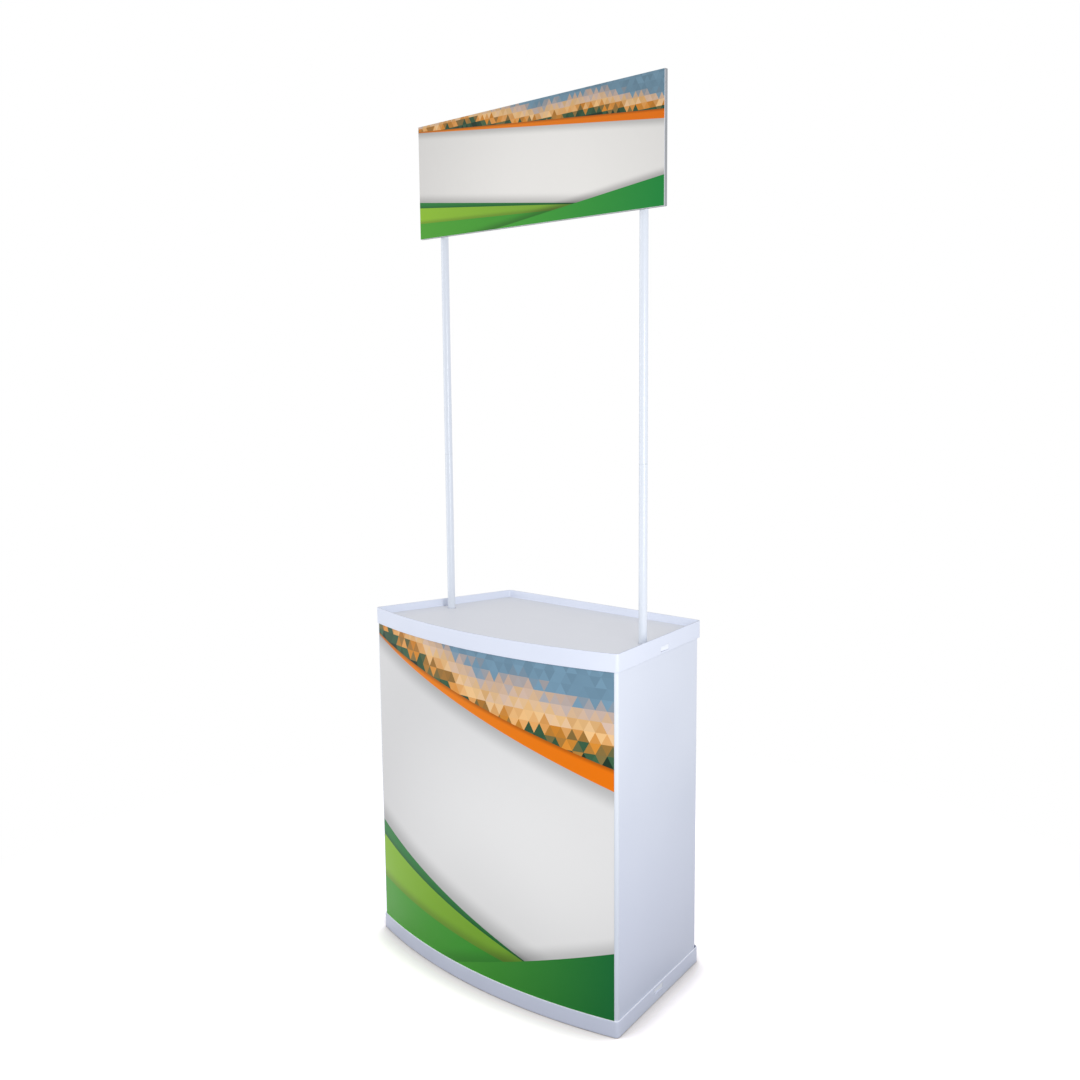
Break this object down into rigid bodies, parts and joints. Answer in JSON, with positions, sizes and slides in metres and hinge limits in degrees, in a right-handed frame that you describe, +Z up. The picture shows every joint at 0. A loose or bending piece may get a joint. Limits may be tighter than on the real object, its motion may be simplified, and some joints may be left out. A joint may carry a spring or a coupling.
{
  "type": "exhibition counter",
  "caption": "Bow-fronted portable counter with trays at top and base, an open back with an inner shelf, and a header board on upright poles.",
  "frame": {"origin": "on the ground, in the middle of the plan", "axes": "+Z up, +X to the right of someone who faces the bowed front, +Y towards the open back"},
  "size_m": [0.822, 0.478, 2.1211],
  "materials": {
    "tray_abs": "moulded, satin white",
    "panel_abs": "moulded sheet, satin white",
    "shelf_abs": "moulded, satin white",
    "catch_abs": "moulded, satin white",
    "corner_vinyl": "extruded, semi-gloss white",
    "front_film": "printed film, satin",
    "header_film": "printed film, satin",
    "foam_board": "cut foamed sheet, matt white",
    "pole_enamel": "powder-coated steel tube, satin white",
    "spigot_steel": "drawn and zinc plated",
    "clip_nylon": "moulded nylon, matt white",
    "screw_steel": "zinc plated",
    "pad_rubber": "matt black"
  },
  "bodies": {
    "counter": {"base_tray": "tray_abs", "top_tray": "tray_abs", "foot_pad_front_left": "pad_rubber", "foot_pad_front_right": "pad_rubber", "foot_pad_back_left": "pad_rubber", "foot_pad_back_right": "pad_rubber", "front_panel": "panel_abs", "front_print": "front_film", "corner_profile_left": "corner_vinyl", "corner_profile_right": "corner_vinyl", "side_panel_left": "panel_abs", "side_panel_right": "panel_abs", "shelf_rail_left": "shelf_abs", "shelf_rail_right": "shelf_abs", "pole_socket_left": "shelf_abs", "pole_socket_right": "shelf_abs"},
    "inner_shelf": {"shelf": "shelf_abs"},
    "lower_poles": {"lower_pole_left": "pole_enamel", "lower_pole_right": "pole_enamel"},
    "upper_poles": {"upper_pole_left": "pole_enamel", "upper_pole_right": "pole_enamel", "pole_spigot_left": "spigot_steel", "pole_spigot_right": "spigot_steel"},
    "header": {"header_board": "foam_board", "header_print": "header_film", "header_clip_top_left": "clip_nylon", "header_clip_top_right": "clip_nylon", "header_clip_bottom_left": "clip_nylon", "header_clip_bottom_right": "clip_nylon", "clip_screw_top_left_outer": "screw_steel", "clip_screw_top_left_inner": "screw_steel", "clip_screw_top_right_outer": "screw_steel", "clip_screw_top_right_inner": "screw_steel", "clip_screw_bottom_left_outer": "screw_steel", "clip_screw_bottom_left_inner": "screw_steel", "clip_screw_bottom_right_outer": "screw_steel", "clip_screw_bottom_right_inner": "screw_steel"},
    "catch_top_left": {"snap_catch_top_left": "catch_abs"},
    "catch_top_right": {"snap_catch_top_right": "catch_abs"},
    "catch_base_left": {"snap_catch_base_left": "catch_abs"},
    "catch_base_right": {"snap_catch_base_right": "catch_abs"}
  },
  "joints": [
    {"name": "shelf_lift", "type": "slide", "parent": "counter", "child": "inner_shelf", "axis": [0, 0, 1], "range_m": [0, 0.3]},
    {"name": "lower_poles_lift", "type": "slide", "parent": "counter", "child": "lower_poles", "axis": [0, 0, 1], "range_m": [0, 0.08]},
    {"name": "upper_poles_lift", "type": "slide", "parent": "lower_poles", "child": "upper_poles", "axis": [0, 0, 1], "range_m": [0, 0.055]},
    {"name": "header_lift", "type": "slide", "parent": "upper_poles", "child": "header", "axis": [0, 0, 1], "range_m": [0, 0.25]},
    {"name": "catch_top_left_press", "type": "hinge", "parent": "counter", "child": "catch_top_left", "pos_m": [-0.36843, 0.02384, 0.853], "axis": [0, 0, -1], "range_deg": [0, 5.5], "stiffness_Nm_per_rad": 1},
    {"name": "catch_top_right_press", "type": "hinge", "parent": "counter", "child": "catch_top_right", "pos_m": [0.36843, 0.02384, 0.853], "axis": [0, 0, 1], "range_deg": [0, 5.5], "stiffness_Nm_per_rad": 1},
    {"name": "catch_base_left_press", "type": "hinge", "parent": "counter", "child": "catch_base_left", "pos_m": [-0.37306, 0.00029, 0.0285], "axis": [0, 0, -1], "range_deg": [0, 5.5], "stiffness_Nm_per_rad": 1},
    {"name": "catch_base_right_press", "type": "hinge", "parent": "counter", "child": "catch_base_right", "pos_m": [0.37306, 0.00029, 0.0285], "axis": [0, 0, 1], "range_deg": [0, 5.5], "stiffness_Nm_per_rad": 1}
  ]
}
